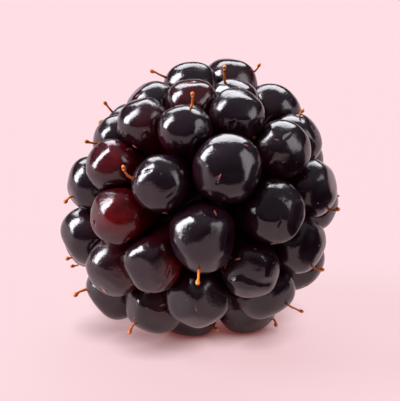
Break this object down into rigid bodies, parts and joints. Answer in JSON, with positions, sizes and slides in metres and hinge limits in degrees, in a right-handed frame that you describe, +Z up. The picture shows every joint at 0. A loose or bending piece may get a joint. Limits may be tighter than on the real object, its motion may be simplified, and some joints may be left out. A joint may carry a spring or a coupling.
{
  "type": "bramble berry",
  "caption": "Ripe bramble berry lying on its side: glossy near-black drupelets crowded round a pale receptacle, with the dried styles still on and the stalk scar at the back.",
  "frame": {"origin": "bottom centre of the bounding box, on the plane the berry rests on", "axes": "+Z up; the berry lies on its side with its tip towards -Y, 15 degrees towards +X and 27 degrees above level, and its stalk scar behind, towards +Y"},
  "size_m": [0.024, 0.027, 0.0233],
  "materials": {
    "skin_ripe": "glossy near-black purple fruit skin, faintly mottled",
    "skin_wine": "glossy fruit skin, near-black with a wine-red glow",
    "skin_red": "glossy translucent dark red fruit skin",
    "receptacle": "moist pale fibrous pith, stained with juice between the drupelets",
    "style": "dried orange-brown thread"
  },
  "bodies": {
    "root": {"drupelet_01": "skin_ripe", "drupelet_02": "skin_ripe", "drupelet_03": "skin_ripe", "drupelet_04": "skin_ripe", "drupelet_05": "skin_ripe", "drupelet_06": "skin_ripe", "drupelet_07": "skin_ripe", "drupelet_08": "skin_wine", "drupelet_09": "skin_wine", "drupelet_10": "skin_red", "drupelet_11": "skin_wine", "drupelet_12": "skin_wine", "drupelet_13": "skin_ripe", "drupelet_14": "skin_ripe", "drupelet_15": "skin_ripe", "drupelet_16": "skin_ripe", "drupelet_17": "skin_ripe", "drupelet_18": "skin_ripe", "drupelet_19": "skin_wine", "drupelet_20": "skin_ripe", "drupelet_21": "skin_ripe", "drupelet_22": "skin_ripe", "drupelet_23": "skin_ripe", "drupelet_24": "skin_ripe", "drupelet_25": "skin_ripe", "drupelet_26": "skin_ripe", "drupelet_27": "skin_ripe", "drupelet_28": "skin_ripe", "drupelet_29": "skin_ripe", "drupelet_30": "skin_ripe", "drupelet_31": "skin_ripe", "drupelet_32": "skin_ripe", "drupelet_33": "skin_ripe", "drupelet_34": "skin_ripe", "drupelet_35": "skin_ripe", "drupelet_36": "skin_ripe", "drupelet_37": "skin_ripe", "drupelet_38": "skin_ripe", "drupelet_39": "skin_ripe", "drupelet_40": "skin_ripe", "drupelet_41": "skin_ripe", "drupelet_42": "skin_ripe", "drupelet_43": "skin_ripe", "drupelet_44": "skin_ripe", "drupelet_45": "skin_ripe", "drupelet_46": "skin_ripe", "drupelet_47": "skin_ripe", "drupelet_48": "skin_ripe", "drupelet_49": "skin_ripe", "drupelet_50": "skin_ripe", "receptacle": "receptacle"}
  },
  "joints": []
}
